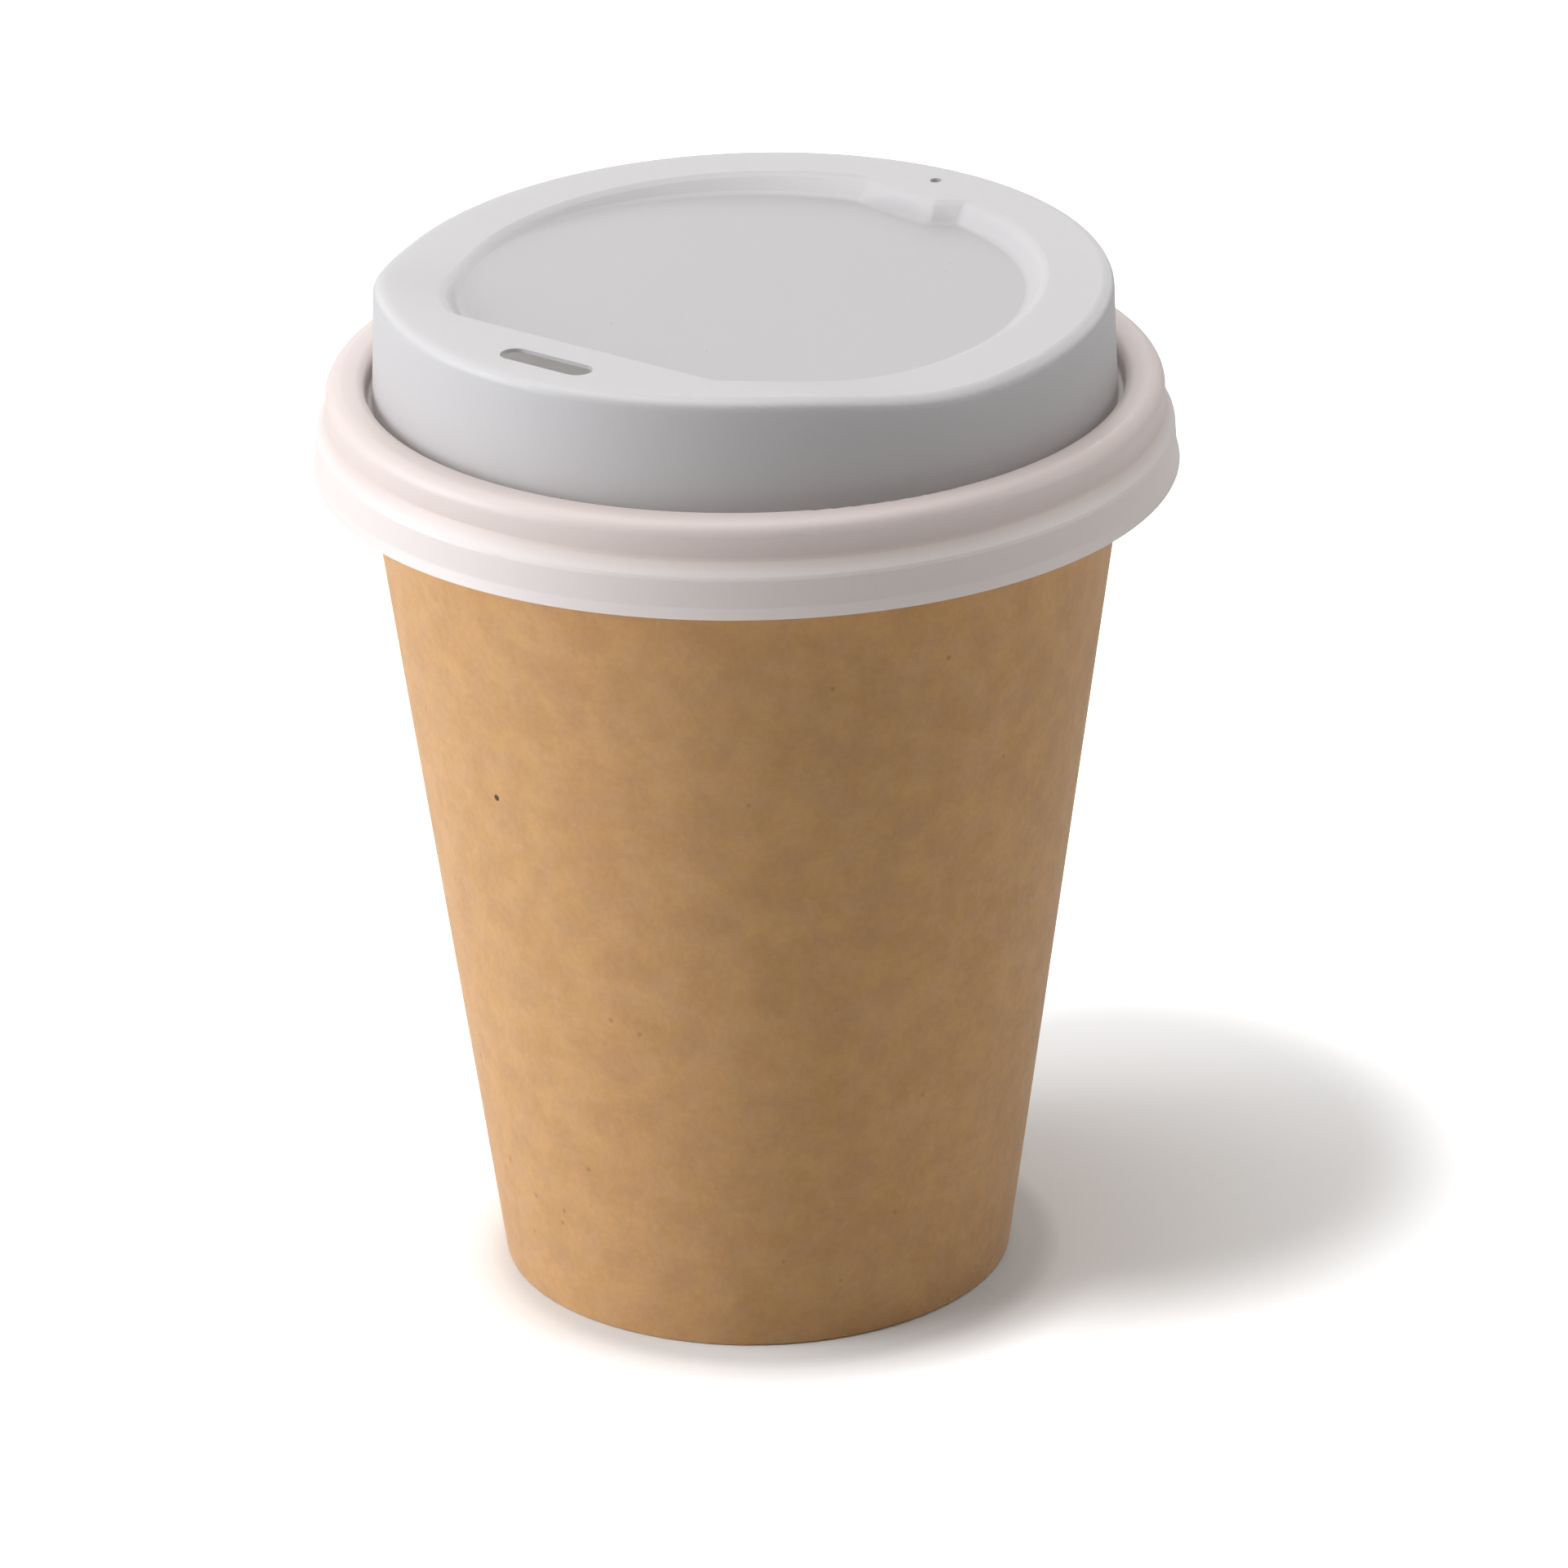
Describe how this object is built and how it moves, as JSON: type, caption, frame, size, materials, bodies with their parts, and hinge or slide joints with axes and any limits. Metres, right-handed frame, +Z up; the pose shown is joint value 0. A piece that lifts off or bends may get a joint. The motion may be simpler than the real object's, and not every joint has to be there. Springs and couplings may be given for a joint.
{
  "type": "paper coffee cup with lid",
  "caption": "Kraft paper takeaway cup with a rolled rim, a recessed bottom and a white thermoformed sip lid that snaps over the rim.",
  "frame": {"origin": "middle of the ring that the cup stands on, on the table", "axes": "+Z up along the cup's axis, -Y towards the viewer; the lid's drinking hole points 37 degrees to the left of -Y"},
  "size_m": [0.094, 0.094, 0.1154],
  "materials": {
    "kraft_board": "uncoated brown kraft outside with fine fibres, matt, and a smooth white lining inside",
    "bottom_board": "brown kraft board underneath, matt, and the same white lining on top",
    "lid_plastic": "white formed sheet with a soft satin sheen"
  },
  "bodies": {
    "cup": {"cup_sidewall": "kraft_board", "cup_bottom": "bottom_board"},
    "lid": {"sip_lid": "lid_plastic"}
  },
  "joints": [
    {"name": "lid_lift", "type": "slide", "parent": "cup", "child": "lid", "axis": [0, 0, 1], "range_m": [0, 0.06]}
  ]
}
